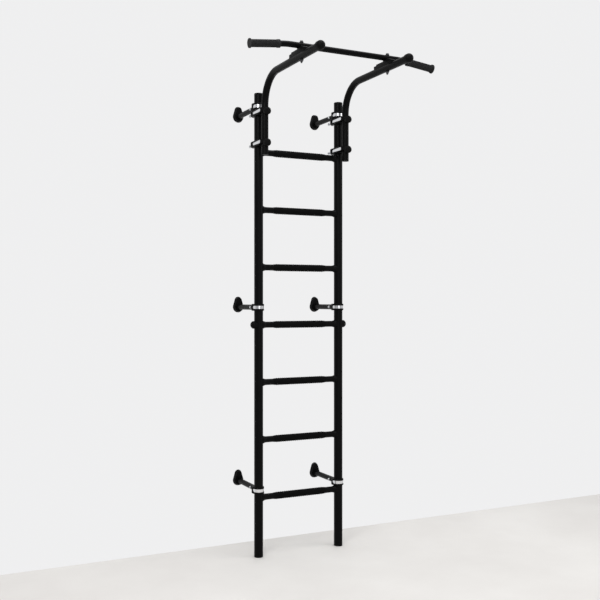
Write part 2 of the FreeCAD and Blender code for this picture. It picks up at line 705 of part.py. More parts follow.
def clamp_nose(side, z):
    """Black shell over the front of the strap, with a round knob."""
    inner = f"({FRONT_R} + nose_clearance)"
    outer = f"({inner} + nose_wall)"
    body = new_body("nose_shell")
    shell = sketch_on(body, "XY")
    outline(shell, [
        (inner, "nose_edge"),
        (outer, "nose_edge"),
        (outer, "0", "0", "0", "right"),
        (f"-{outer}", "0"),
        (f"-{outer}", "nose_edge"),
        (f"-{inner}", "nose_edge"),
        (f"-{inner}", "0", "0", "0", "left"),
        (inner, "0"),
    ])
    pad(body, shell, "strap_height + 2 * nose_lip", both_ways=True)
    knob_r, rise = "(nose_knob_diameter / 2)", "nose_knob_dome"
    sphere = f"(({knob_r} ^ 2 + {rise} ^ 2) / (2 * {rise}))"
    rim = f"({outer} + nose_knob_height)"
    tip = f"({rim} + {rise})"
    knob = sketch_on(body, "YZ")
    bind(knob, "AttachmentOffset.Base.y", "-nose_knob_drop")
    outline(knob, [
        (f"-{knob_r}", "0"),
        (f"-{knob_r}", knob_r),
        (f"-{rim}", knob_r, f"{sphere} - {tip}", "0", "left"),
        (f"-{tip}", "0"),
    ])
    revolve(body, knob)
    hollow = sketch_on(body, "XY")
    circle(hollow, "0", "0", inner)
    pocket_through(body, hollow)
    nose = doc.addObject("Part::Cut", "clamp_nose")
    nose.Base, nose.Tool = body, window(*CLAMP_WINDOW)
    return place(nose, f"{side} * upright_spacing / 2", ARM_PLACE_Y, z)


# The part that slides in the double clamps

def arm(label, side):
    """Gooseneck tube: upright, one bend, level towards the user."""
    straight = "(arm_rise - arm_bend + arm_drop)"
    body = new_body(label)
    path = sketch_on(body, "YZ")
    outline(path, [
        ("0", "0"),
        ("0", straight, "-arm_bend", straight, "left"),
        ("-arm_bend", f"{straight} + arm_bend"),
        (f"-(arm_reach - {ARM_Y})", f"{straight} + arm_bend"),
    ], closed=False)
    section = sketch_on(body, "XY")
    circle(section, "0", "0", ARM_R)
    circle(section, "0", "0", f"{ARM_R} - arm_wall")
    sweep = body.newObject("PartDesign::AdditivePipe", "AdditivePipe")
    sweep.Profile = section
    sweep.Spine = path
    hole = sketch_on(body, "XY")
    circle(hole, "0", f"-(bar_reach - {ARM_Y})", "bar_bolt_diameter / 2 + plug_clearance")
    pocket_through(body, hole)
    return place(body, f"{side} * upright_spacing / 2", ARM_PLACE_Y, f"{TOP} - arm_drop")


def tip_cap(label, side):
    """Domed cap over the end of an arm."""
    radius, dome = "tip_cap_diameter / 2", "tip_cap_dome"
    bore = f"{ARM_R} + plug_clearance"
    sphere = f"((({radius}) ^ 2 + {dome} ^ 2) / (2 * {dome}))"
    body = new_body(label)
    profile = sketch_on(body, "YZ")
    outline(profile, [
        ("tip_cap_skirt", bore),
        ("tip_cap_skirt", radius),
        ("0", radius, f"{sphere} - {dome}", "0", "left"),
        (f"-{dome}", "0"),
        ("0", "0"),
        ("0", bore),
    ])
    revolve(body, profile)
    return place(body, f"{side} * upright_spacing / 2", "-(wall_distance + arm_reach)", ARM_Z)


def arm_plug(side):
    """Plug that closes the lower end of an arm."""
    disc = doc.addObject("Part::Cylinder", "plug_disc")
    bind(disc, "Radius", ARM_R)
    bind(disc, "Height", "arm_plug_rim")
    bind(disc, "Placement.Base.z", "-arm_plug_rim")
    core = doc.addObject("Part::Cylinder", "plug_core")
    bind(core, "Radius", f"{ARM_R} - arm_wall - plug_clearance")
    bind(core, "Height", "plug_depth")
    plug = doc.addObject("Part::Fuse", "arm_plug")
    plug.Base, plug.Tool = disc, core
    return place(plug, f"{side} * upright_spacing / 2", ARM_PLACE_Y, f"{TOP} - arm_drop")


# Where the straight end of the bar starts, from the bar's middle
BEND_X = "(bar_straight + bar_bend_radius * sin(bar_bend_angle))"
BEND_Z = "(-bar_bend_radius * (1 - cos(bar_bend_angle)))"
GRIP_END = "(bar_grip_start + bar_grip_length)"


def pull_up_bar(label):
    """Bar with both ends bent slightly down, bored for its two bolts."""
    body = new_body(label)
    path = sketch_on(body, "XZ")
    length = f"({GRIP_END} - bar_grip_floor)"
    outline(path, [
        ("0", "0"),
        ("bar_straight", "0", "bar_straight", "-bar_bend_radius", "right"),
        (BEND_X, BEND_Z),
        (f"{BEND_X} + {length} * cos(bar_bend_angle)", f"{BEND_Z} - {length} * sin(bar_bend_angle)"),
    ], closed=False)
    section = sketch_on(body, "YZ")
    circle(section, "0", "0", BAR_R)
    circle(section, "0", "0", f"{BAR_R} - bar_wall")
    sweep = body.newObject("PartDesign::AdditivePipe", "AdditivePipe")
    sweep.Profile = section
    sweep.Spine = path
    mirrored = body.newObject("PartDesign::Mirrored", "Mirrored")
    mirrored.Originals = [sweep]
    mirrored.MirrorPlane = (next(f for f in body.Origin.OriginFeatures if f.Role == "YZ_Plane"), [""])
    body.Tip = mirrored
    holes = sketch_on(body, "XY")
    for side in SIDES.values():
        circle(holes, f"{side} * upright_spacing / 2", "0", "bar_bolt_diameter / 2 + plug_clearance")
    pocket_through(body, holes)
    return place(body, "0", "-(wall_distance + bar_reach)", BAR_Z)


def bar_grip(label, side):
    """Fluted sleeve with a closed outer end, a flange there and two rings at its inner end."""
    bore, radius = f"{BAR_R} + plug_clearance", "bar_grip_diameter / 2"
    flange, ring = "bar_flange_diameter / 2", "bar_ring_diameter / 2"
    start, width = "bar_grip_start", "bar_ring_width"
    body = new_body(label)
    profile = sketch_on(body, "XZ")
    outline(profile, [
        (start, bore),
        (f"{GRIP_END} - bar_grip_floor", bore),
        (f"{GRIP_END} - bar_grip_floor", "0"),
        (GRIP_END, "0"),
        (GRIP_END, flange),
        (f"{GRIP_END} - bar_flange_thickness", flange),
        (f"{GRIP_END} - bar_flange_thickness", radius),
        (f"{start} + 3 * {width}", radius),
        (f"{start} + 3 * {width}", ring),
        (f"{start} + 2 * {width}", ring),
        (f"{start} + 2 * {width}", radius),
        (f"{start} + {width}", radius),
        (f"{start} + {width}", ring),
        (start, ring),
    ])
    revolve(body, profile)
    groove = sketch_on(body, "YZ", f"{start} + 3 * {width} + flute_margin")
    circle(groove, "0", radius, "flute_radius")
    cut = body.newObject("PartDesign::Pocket", "Pocket")
    cut.Profile = groove
    cut.Reversed = True
    bind(cut, "Length", f"bar_grip_length - 3 * {width} - bar_flange_thickness - 2 * flute_margin")
    flutes = body.newObject("PartDesign::PolarPattern", "PolarPattern")
    flutes.Originals = [cut]
    flutes.Axis = (profile, ["H_Axis"])
    flutes.Angle = 360
    flutes.Occurrences = FLUTE_COUNT
    body.Tip = flutes
    place(body, f"{side} * {BEND_X}", "-(wall_distance + bar_reach)", f"{BAR_Z} + {BEND_Z}", (0, 1, 0), 1)
    bind(body, "Placement.Rotation.Angle", "bar_bend_angle" if side > 0 else "180 - bar_bend_angle")
    return body


def bar_saddle(label, side):
    """Cradle on an arm that carries the bar."""
    body = new_body(label)
    rises = ("-saddle_skirt", "saddle_step", "saddle_shelf", "saddle_height")
    low, step, shelf, high = (f"({ARM_R} + {rise})" for rise in rises)
    profile = sketch_on(body, "YZ")
    outline(profile, [
        ("saddle_back", low),
        ("saddle_back", step),
        ("saddle_back - saddle_step_length", step),
        ("saddle_back - saddle_step_length", shelf),
        ("saddle_seat_back", shelf),
        ("saddle_seat_back", high),
        ("-saddle_seat", high),
        ("-saddle_front", f"{ARM_R} + saddle_nose_height"),
        ("-saddle_front", low),
    ])
    pad(body, profile, "saddle_width", both_ways=True)
    for plane, x, y, radius in (
        ("XZ", "0", "0", ARM_R),
        ("YZ", "0", "bar_rise", BAR_R),
        ("XY", "0", "0", "bar_bolt_diameter / 2 + plug_clearance"),
    ):
        cut = sketch_on(body, plane)
        circle(cut, x, y, radius)
        pocket_through(body, cut)
    return place(body, f"{side} * upright_spacing / 2", "-(wall_distance + bar_reach)", ARM_Z)


def bar_washer(side, z, tube_radius, axis, angle, upside_down):
    """Thick washer, hollowed to sit on a tube."""
    disc = doc.addObject("Part::Cylinder", "washer_disc")
    bind(disc, "Radius", "washer_diameter / 2")
    bind(disc, "Height", "washer_thickness + washer_rim")
    bind(disc, "Placement.Base.z", "-washer_rim")
    hole = doc.addObject("Part::Cylinder", "washer_hole")
    bind(hole, "Radius", "bar_bolt_diameter / 2 + plug_clearance")
    hole.Height = CUTTER
    hole.Placement.Base.z = -CUTTER / 2
    seat = doc.addObject("Part::Cylinder", "washer_seat")
    bind(seat, "Radius", tube_radius)
    seat.Height = CUTTER
    seat.Placement = FreeCAD.Placement(FreeCAD.Vector(), FreeCAD.Rotation(FreeCAD.Vector(*axis), angle))
    bind(seat, "Placement.Base.z", f"-({tube_radius})")
    bind(seat, "Placement.Base." + ("x" if axis[1] else "y"), str(-CUTTER / 2 if axis[1] else CUTTER / 2))
    tools = doc.addObject("Part::Fuse", "washer_tools")
    tools.Base, tools.Tool = hole, seat
    washer = doc.addObject("Part::Cut", "washer")
    washer.Base, washer.Tool = disc, tools
    turn = 180 if upside_down else 0
    return place(washer, f"{side} * upright_spacing / 2", "-(wall_distance + bar_reach)", z, (1, 0, 0), turn)


def bar_bolt(side):
    length = f"{BAR_R} + bar_rise + {ARM_R} + 2 * washer_thickness + {HEX[8][1]} + bar_bolt_spare"
    bolt = hex_bolt("bar_bolt", "bar_bolt_diameter", length, 8)
    top = f"{BAR_Z} + {BAR_R} + washer_thickness"
    return place(bolt, f"{side} * upright_spacing / 2", "-(wall_distance + bar_reach)", top)


def bar_nut(side):
    nut = hex_nut("bar_nut", "bar_bolt_diameter", 8)
    bottom = f"{ARM_Z} - {ARM_R} - washer_thickness"
    return place(nut, f"{side} * upright_spacing / 2", "-(wall_distance + bar_reach)", bottom, (1, 0, 0), 180)


# Put the object together

nodes = []
for name, side in SIDES.items():
    x = f"{side} * upright_spacing / 2"
    lower = tube(f"{name}_upright_lower", UPRIGHT_R, BORE_R, x, "foot_thickness", f"{SEAM} - foot_thickness")
    cross_hole(lower, "0", f"{MIDDLE} - foot_thickness", "rung_bolt_diameter / 2 + plug_clearance")
    nodes.append(lower)
    length = f"{TOP} - top_cap_thickness - {SEAM}"
    nodes.append(tube(f"{name}_upright_upper", UPRIGHT_R, BORE_R, x, SEAM, length))
    top = f"{TOP} - top_cap_thickness"
    nodes.append(upright_plug(f"{name}_top_cap", x, top, "top_cap_thickness", "top_cap_rounding", False))
    nodes.append(upright_plug(f"{name}_foot", x, "foot_thickness", "foot_thickness", "foot_rounding", True))
    nodes.append(side_cap(f"{name}_bolt_cap", side))

couplers = []
for side in SIDES.values():
    outside = f"({BORE_R} - plug_clearance)"
    x = f"{side} * upright_spacing / 2"
    low = f"({SEAM} - coupler_length / 2)"
    coupler = tube("coupler", outside, f"{outside} - coupler_wall", x, low, "coupler_length")
    cross_hole(coupler, "0", f"{MIDDLE} - {low}", "rung_bolt_diameter / 2 + plug_clearance")
    couplers.append(coupler)
nodes.append(group("upright_couplers", couplers))

for number in range(RUNG_COUNT):
    height = f"low_margin + {number} * rung_pitch"
    nodes.append(rung(f"rung_{number + 1}", height))
    nodes.append(rung_grip(f"rung_grip_{number + 1}", height))
nodes.append(group("rung_inserts", [rung_insert(side) for side in SIDES.values()]))
nodes.append(group("rung_bolts", [rung_bolt(side) for side in SIDES.values()]))

liners, bands, bolts, nuts = [], [], [], []
for level, z in BRACKETS.items():
    for name, side in SIDES.items():
        nodes.append(wall_bracket(f"{name}_bracket_{level}", side, z))
        nodes.append(wall_cover(f"{name}_cover_{level}", side, z))
        liners.append(bracket_liner(side, z))
        band = strap("bracket_strap", "strap_straight", EAR_IN, "pinch_reach")
        bands.append(place(band, f"{side} * upright_spacing / 2", "-wall_distance", z))
        y, half = "-(wall_distance - pinch_reach)", "(stay_diameter / 2)"
        bolts.append(pinch_bolt(side, y, z, half))
        nuts.append(pinch_nut(side, y, z, half))
nodes.append(group("bracket_liners", liners))
nodes.append(group("bracket_straps", bands))

clamp_liners, clamp_straps, clamp_noses = [], [], []
for level, z in CLAMPS.items():
    for side in SIDES.values():
        clamp_liners.append(clamp_liner(side, z))
        band = strap("clamp_strap", CLAMP_BEND, CLAMP_EAR, CLAMP_PINCH)
        clamp_straps.append(place(band, f"{side} * upright_spacing / 2", ARM_PLACE_Y, z))
        clamp_noses.append(clamp_nose(side, z))
        y, half = f"{ARM_PLACE_Y} + {CLAMP_PINCH}", f"({CLAMP_EAR} + strap_thickness)"
        bolts.append(pinch_bolt(side, y, z, half))
        nuts.append(pinch_nut(side, y, z, half))
nodes.append(group("clamp_liners", clamp_liners))
nodes.append(group("clamp_straps", clamp_straps))
nodes.append(group("clamp_noses", clamp_noses))
nodes.append(group("pinch_bolts", bolts))
nodes.append(group("pinch_nuts", nuts))

for name, side in SIDES.items():
    nodes.append(arm(f"{name}_arm", side))
    nodes.append(tip_cap(f"{name}_tip_cap", side))
    nodes.append(bar_grip(f"{name}_bar_grip", side))
    nodes.append(bar_saddle(f"{name}_bar_saddle", side))
nodes.append(group("arm_plugs", [arm_plug(side) for side in SIDES.values()]))
nodes.append(pull_up_bar("pull_up_bar"))
nodes.append(group("bar_bolts", [bar_bolt(side) for side in SIDES.values()]))
nodes.append(group("bar_nuts", [bar_nut(side) for side in SIDES.values()]))
washers = []
for side in SIDES.values():
    washers.append(bar_washer(side, f"{BAR_Z} + {BAR_R}", BAR_R, (0, 1, 0), 90, False))
    washers.append(bar_washer(side, f"{ARM_Z} - {ARM_R}", ARM_R, (1, 0, 0), 90, True))
nodes.append(group("bar_washers", washers))

doc.recompute()

for thing in doc.Objects:
    if "Invalid" in thing.State or "Error" in thing.State:
        raise RuntimeError(f"{thing.Label} failed: {thing.State}")
for node in nodes:
    if node.Shape.isNull() or not node.Shape.isValid():
        raise RuntimeError(f"{node.Label} has no valid shape")

os.makedirs("parts", exist_ok=True)
for node in nodes:
    node.Shape.exportStep(f"parts/{node.Label}.step")
print(len(nodes), "nodes written")
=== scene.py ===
import bpy
import bmesh
import math
from mathutils import Matrix, Vector


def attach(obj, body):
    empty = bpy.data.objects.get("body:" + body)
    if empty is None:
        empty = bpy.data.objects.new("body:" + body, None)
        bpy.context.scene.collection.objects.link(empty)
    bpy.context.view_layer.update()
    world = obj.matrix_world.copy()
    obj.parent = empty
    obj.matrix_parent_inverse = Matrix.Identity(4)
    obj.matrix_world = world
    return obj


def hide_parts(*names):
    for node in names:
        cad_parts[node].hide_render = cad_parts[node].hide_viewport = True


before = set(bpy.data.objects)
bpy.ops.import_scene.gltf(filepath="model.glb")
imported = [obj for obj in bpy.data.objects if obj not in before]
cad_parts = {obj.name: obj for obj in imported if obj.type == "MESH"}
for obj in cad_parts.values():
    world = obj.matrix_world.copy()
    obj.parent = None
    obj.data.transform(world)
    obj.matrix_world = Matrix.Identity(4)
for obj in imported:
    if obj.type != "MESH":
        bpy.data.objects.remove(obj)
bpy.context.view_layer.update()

# The object stands on a plain pale floor, matt and faintly uneven in tone, which ends where
# the wall would stand. It lies a hair below the feet.
FLOOR_HALF_WIDTH = 4.0
FLOOR_DEPTH = 7.0
FLOOR_DROP = 0.0005
FLOOR_TONES = (0.70, 0.68, 0.655), (0.77, 0.755, 0.73)
PATCH_DETAIL = 5
PATCH_ROUGHNESS = 0.6
DARK_UP_TO, LIGHT_FROM = 0.35, 0.68
GLOSSY_UP_TO, DULL_FROM = 0.3, 0.7
SHARP_ANGLE = 35


def surface(name, dark, light, patch, gloss, metal=0.0, shine=0.3):
    """A material whose colour wanders between two tones, and its roughness between the two
    of gloss, in patches of that many metres."""
    made = bpy.data.materials.new(name)
    made.use_nodes = True
    nodes, links = made.node_tree.nodes, made.node_tree.links
    shader = nodes["Principled BSDF"]
    shader.inputs["Metallic"].default_value = metal
    shader.inputs["Specular IOR Level"].default_value = shine
    places = nodes.new("ShaderNodeTexCoord")
    patches = nodes.new("ShaderNodeTexNoise")
    patches.inputs["Scale"].default_value = 1 / patch
    patches.inputs["Detail"].default_value = PATCH_DETAIL
    patches.inputs["Roughness"].default_value = PATCH_ROUGHNESS
    links.new(places.outputs["Object"], patches.inputs["Vector"])
    tones = nodes.new("ShaderNodeValToRGB")
    tones.color_ramp.elements[0].position = DARK_UP_TO
    tones.color_ramp.elements[1].position = LIGHT_FROM
    tones.color_ramp.elements[0].color = (*dark, 1)
    tones.color_ramp.elements[1].color = (*light, 1)
    links.new(patches.outputs["Fac"], tones.inputs["Fac"])
    links.new(tones.outputs["Color"], shader.inputs["Base Color"])
    sheen = nodes.new("ShaderNodeMapRange")
    sheen.inputs["From Min"].default_value = GLOSSY_UP_TO
    sheen.inputs["From Max"].default_value = DULL_FROM
    sheen.inputs["To Min"].default_value = gloss[0]
    sheen.inputs["To Max"].default_value = gloss[1]
    links.new(patches.outputs["Fac"], sheen.inputs["Value"])
    links.new(sheen.outputs["Result"], shader.inputs["Roughness"])
    return made


def relief(made, grain, depth, stretch=(1, 1, 1), detail=2.0):
    """Adds fine bumps to a material: grain is their size and depth their height, in metres.
    stretch draws them out along an axis."""
    nodes, links = made.node_tree.nodes, made.node_tree.links
    places = nodes.new("ShaderNodeTexCoord")
    squeeze = nodes.new("ShaderNodeMapping")
    squeeze.inputs["Scale"].default_value = [1 / s for s in stretch]
    links.new(places.outputs["Object"], squeeze.inputs["Vector"])
    bumps = nodes.new("ShaderNodeTexNoise")
    bumps.inputs["Scale"].default_value = 1 / grain
    bumps.inputs["Detail"].default_value = detail
    links.new(squeeze.outputs["Vector"], bumps.inputs["Vector"])
    lift = nodes.new("ShaderNodeBump")
    lift.inputs["Strength"].default_value = 1.0
    lift.inputs["Distance"].default_value = depth
    links.new(bumps.outputs["Fac"], lift.inputs["Height"])
    normal = nodes["Principled BSDF"].inputs["Normal"]
    if normal.links:
        links.new(normal.links[0].from_socket, lift.inputs["Normal"])
    links.new(lift.outputs["Normal"], normal)
    return made


def piece(name, shape, made):
    """Turns a finished bmesh into an object with that material. It is shaded smooth, except
    across edges sharper than SHARP_ANGLE."""
    mesh = bpy.data.meshes.new(name)
    for face in shape.faces:
        face.smooth = True
    sharp = math.radians(SHARP_ANGLE)
    for edge in shape.edges:
        edge.smooth = len(edge.link_faces) != 2 or edge.calc_face_angle() < sharp
    shape.to_mesh(mesh)
    shape.free()
    mesh.materials.append(made)
    thing = bpy.data.objects.new(name, mesh)
    bpy.context.scene.collection.objects.link(thing)
    return thing


slab = bmesh.new()
bmesh.ops.create_grid(slab, x_segments=2, y_segments=2, size=1)
bmesh.ops.scale(slab, verts=slab.verts, vec=(FLOOR_HALF_WIDTH, FLOOR_DEPTH / 2, 1))
bmesh.ops.translate(slab, verts=slab.verts, vec=(0, -FLOOR_DEPTH / 2, -FLOOR_DROP))
floor_paint = surface("pale_floor", *FLOOR_TONES, patch=0.9, gloss=(0.55, 0.7))
piece("floor", slab, relief(floor_paint, grain=0.004, depth=0.0001))

# A soft light room surrounds it. It is bright behind the object and dimmer where the object's
# front faces, as a room is beyond its lamps.
DIM_SIDE = (0.42, 0.42, 0.43, 1)
BRIGHT_SIDE = (0.865, 0.865, 0.87, 1)
DIM_UP_TO, BRIGHT_FROM = 0.25, 0.72
world = bpy.data.worlds.new("soft_room")
bpy.context.scene.world = world
world.use_nodes = True
nodes, links = world.node_tree.nodes, world.node_tree.links
facing = nodes.new("ShaderNodeTexCoord")
split = nodes.new("ShaderNodeSeparateXYZ")
links.new(facing.outputs["Generated"], split.inputs["Vector"])
towards_wall = nodes.new("ShaderNodeMapRange")
towards_wall.inputs["From Min"].default_value = -1
links.new(split.outputs["Y"], towards_wall.inputs["Value"])
room = nodes.new("ShaderNodeValToRGB")
room.color_ramp.elements[0].position = DIM_UP_TO
room.color_ramp.elements[0].color = DIM_SIDE
room.color_ramp.elements[1].position = BRIGHT_FROM
room.color_ramp.elements[1].color = BRIGHT_SIDE
links.new(towards_wall.outputs["Result"], room.inputs["Fac"])
links.new(room.outputs["Color"], nodes["Background"].inputs["Color"])

# Four square soft boxes light it: one high at the left front, one at the right, one overhead
# and a large one behind the viewer, which the polished straps mirror.
LADDER_MIDDLE = (0, -0.3, 1.2)
FLOOR_MIDDLE = (0, -0.5, 0)
LADDER_TOP = (-0.2, -0.26, 1.7)


def lamp(name, place, aim, size, power):
    """A square soft box at place that shines at aim."""
    light = bpy.data.lights.new(name, "AREA")
    light.shape = "SQUARE"
    light.size = size
    light.energy = power
    box = bpy.data.objects.new(name, light)
    bpy.context.scene.collection.objects.link(box)
    box.location = place
    box.rotation_euler = (Vector(aim) - Vector(place)).to_track_quat("-Z", "Y").to_euler()


lamp("key_box", (-2.6, -3.0, 3.6), LADDER_MIDDLE, 1.6, 60)
lamp("fill_box", (3.2, -2.6, 2.4), LADDER_MIDDLE, 2.2, 26)
lamp("top_box", (0.2, -1.2, 4.6), FLOOR_MIDDLE, 2.6, 60)
lamp("front_panel", (-0.7, -5.6, 2.0), LADDER_TOP, 2.8, 36)

# The camera stands at chest height, level, in front of the object and to its left.
EYE_PLACE = (-1.8544, -4.0097, 1.2206)
EYE_TURN = -26.35
LENS = 51.71
SENSOR = 36
LENS_SHIFT = -0.001
camera = bpy.data.cameras.new("camera")
camera.sensor_width = SENSOR
camera.lens = LENS
camera.shift_y = LENS_SHIFT
eye = bpy.data.objects.new("camera", camera)
bpy.context.scene.collection.objects.link(eye)
eye.location = EYE_PLACE
eye.rotation_euler = (math.radians(90), 0, math.radians(EYE_TURN))
bpy.context.scene.camera = eye
bpy.context.scene.view_settings.view_transform = "Standard"


# The two uprights are round steel tubes, each in two sections with a joint above the middle
# rung. They are powder coated in satin black, which leaves a faint orange peel.
def coat(names, made):
    """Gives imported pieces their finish."""
    for name in names:
        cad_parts[name].data.materials.clear()
        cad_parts[name].data.materials.append(made)


black_coat = surface("satin_black_powder_coat", (0.0011, 0.0011, 0.0012), (0.0021, 0.0021, 0.0022),
                     patch=0.12, gloss=(0.34, 0.44), shine=0.07)
relief(black_coat, grain=0.0016, depth=0.00003)
coat([side + part for side in ("left", "right") for part in ("_upright_lower", "_upright_upper")],
     black_coat)

# A steel sleeve inside each upright joins its two sections, and a threaded insert sits in
# each end of the middle rung. Both are bare steel, and hidden.
bare_steel = surface("bare_turned_steel", (0.26, 0.26, 0.27), (0.36, 0.36, 0.37), patch=0.03,
                     gloss=(0.38, 0.5), metal=1)
relief(bare_steel, grain=0.0012, depth=0.00002, stretch=(1, 1, 12))
coat(["upright_couplers", "rung_inserts"], bare_steel)

# Each upright has a moulded cap in its top and a moulded foot in its lower end, black
# plastic with the fine spark-eroded texture of its mould.
black_plastic = surface("moulded_black_plastic", (0.0013, 0.0013, 0.0014), (0.0026, 0.0026, 0.0028),
                        patch=0.05, gloss=(0.46, 0.58), shine=0.08)
relief(black_plastic, grain=0.0005, depth=0.00002, detail=4)
coat(["left_top_cap", "right_top_cap", "left_foot", "right_foot"], black_plastic)

# Seven steel rungs with flared ends run between the uprights. Six are welded to them, and
# the middle one is bolted. They have the same black coat.
coat([f"rung_{number}" for number in range(1, 8)], black_coat)

# A ribbed rubber sleeve covers the middle of each rung, dull and soft to the hand. It is one
# moulding with rounded ribs all along and a thin edge at each end, pushed over the tube.
SLEEVE_LENGTH = 0.276
SLEEVE_TAPER = 0.010
SLEEVE_EDGE = 0.0007
SLEEVE_BORE = 0.0146
SLEEVE_OUTSIDE = 0.0162
RIBS = 23
RIB_PITCH = 0.011
RIB_FOOT = 0.0050
RIB_TOP = 0.0022
RIB_HEIGHT = 0.0011
RIB_ROUNDING = 0.0006
LADDER_PLANE = -0.258
FIRST_RUNG = 0.281
RUNG_PITCH = 0.273
PLAIN_END = 0.001
SLEEVE_SIDES = 64
SAME_PLACE = 0.00001


def rung_sleeve(height):
    """One sleeve, turned from its outline about the axis of a rung at that height."""
    end = SLEEVE_LENGTH / 2
    edge_radius = SLEEVE_BORE + SLEEVE_EDGE
    outline = [(-end, SLEEVE_BORE), (-end, edge_radius), (SLEEVE_TAPER - end, SLEEVE_OUTSIDE)]
    for number in range(RIBS):
        middle = (number - (RIBS - 1) / 2) * RIB_PITCH
        outline.append((middle - RIB_FOOT / 2, SLEEVE_OUTSIDE))
        outline.append((middle - RIB_TOP / 2, SLEEVE_OUTSIDE + RIB_HEIGHT))
        outline.append((middle + RIB_TOP / 2, SLEEVE_OUTSIDE + RIB_HEIGHT))
        outline.append((middle + RIB_FOOT / 2, SLEEVE_OUTSIDE))
    outline += [(end - SLEEVE_TAPER, SLEEVE_OUTSIDE), (end, edge_radius), (end, SLEEVE_BORE)]
    sleeve = bmesh.new()
    corners = [sleeve.verts.new((along, LADDER_PLANE, height + out)) for along, out in outline]
    sides = [sleeve.edges.new(pair) for pair in zip(corners, corners[1:] + corners[:1])]
    bmesh.ops.spin(sleeve, geom=corners + sides, cent=(0, LADDER_PLANE, height), axis=(1, 0, 0),
                   angle=2 * math.pi, steps=SLEEVE_SIDES, use_merge=True)
    bmesh.ops.remove_doubles(sleeve, verts=sleeve.verts, dist=SAME_PLACE)
    rings = [edge for edge in sleeve.edges
             if abs(edge.verts[0].co.x - edge.verts[1].co.x) < SAME_PLACE
             and abs(edge.verts[0].co.x) < end - PLAIN_END]
    bmesh.ops.bevel(sleeve, geom=rings, offset=RIB_ROUNDING, affect="EDGES", segments=2,
                    profile=0.5, material=-1)
    bmesh.ops.recalc_face_normals(sleeve, faces=sleeve.faces)
    return sleeve


rung_rubber = surface("ribbed_black_rubber", (0.0016, 0.0016, 0.0016), (0.0032, 0.0032, 0.0032),
                      patch=0.03, gloss=(0.7, 0.84), shine=0.06)
relief(rung_rubber, grain=0.0004, depth=0.00003, detail=5)
for number in range(7):
    height = FIRST_RUNG + number * RUNG_PITCH
    sleeve = piece(f"rung_sleeve_{number + 1}", rung_sleeve(height), rung_rubber)
    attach(sleeve, "ladder")
    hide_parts(f"rung_grip_{number + 1}")

# The middle rung is bolted through the uprights at both ends. A domed cap of black plastic,
# moulded hollow, snaps over the head of each bolt.
coat(["left_bolt_cap", "right_bolt_cap"], black_plastic)

# Six brackets hold the ladder off the wall, two at each of three heights. Each is a stay of
# steel tube welded to a wall plate, with the same black coat, and a moulded plastic cover that
# slides along the stay hides the plate.
coat([f"{side}_bracket_{level}" for side in ("left", "right") for level in ("low", "middle", "top")],
     black_coat)
coat([f"{side}_cover_{level}" for side in ("left", "right") for level in ("low", "middle", "top")],
     black_plastic)

# Each bracket grips its upright with a strap of polished steel, bent round a liner of black
# plastic and drawn tight by a bolt. The double clamps have straps of the same steel.
coat(["bracket_liners"], black_plastic)
bright_steel = surface("polished_steel_strap", (0.66, 0.665, 0.68), (0.78, 0.785, 0.80), patch=0.02,
                       gloss=(0.14, 0.22), metal=1)
relief(bright_steel, grain=0.0006, depth=0.000004, stretch=(40, 40, 1))
coat(["bracket_straps", "clamp_straps"], bright_steel)

# An M6 bolt with its nut pinches each strap: one through each stay and the ears inside it, and
# one through the ears behind each double clamp. They are zinc-plated steel, with rolled threads.
zinc = surface("bright_zinc_plating", (0.50, 0.51, 0.53), (0.64, 0.65, 0.66), patch=0.006,
               gloss=(0.26, 0.4), metal=1)
relief(zinc, grain=0.0004, depth=0.00001)
UPRIGHT_AXIS = 0.2152
BRACKET_HEIGHTS = (0.3165, 1.183, 2.134)
CLAMP_HEIGHTS = (1.9565, 2.103)
STAY_BOLT_DEPTH = -0.1895
STAY_RADIUS = 0.0127
CLAMP_BOLT_DEPTH = -0.181
EARS_HALF_WIDTH = 0.011
M6_WIDTH, M6_HEAD, M6_RADIUS, M6_PITCH = 0.010, 0.004, 0.003, 0.001
M6_SPARE = 0.004
M6_THREAD = 0.012
CHAMFER = 0.0005
THREAD_ROOT = 0.86
SHANK_TIP = 0.8
SHANK_SIDES = 20
HOLE_SIDES = 24
NUT_GAP = 0.0001


def hexagon(shape, width, rise):
    """Adds a six-sided block to a bmesh, from z 0 up, with its upper edges broken."""
    foot = bmesh.ops.create_circle(shape, cap_ends=True, segments=6, radius=width / math.sqrt(3))["verts"]
    turn = Matrix.Rotation(math.radians(30), 3, "Z")
    bmesh.ops.rotate(shape, verts=foot, cent=(0, 0, 0), matrix=turn)
    lid = bmesh.ops.extrude_face_region(shape, geom=[foot[0].link_faces[0]], use_keep_orig=True)
    raised = [item for item in lid["geom"] if isinstance(item, bmesh.types.BMVert)]
    bmesh.ops.translate(shape, verts=raised, vec=(0, 0, rise))
    rim = [edge for edge in shape.edges if edge.verts[0] in raised and edge.verts[1] in raised]
    bmesh.ops.bevel(shape, geom=rim, offset=CHAMFER, affect="EDGES", segments=2, profile=0.5,
                    material=-1)


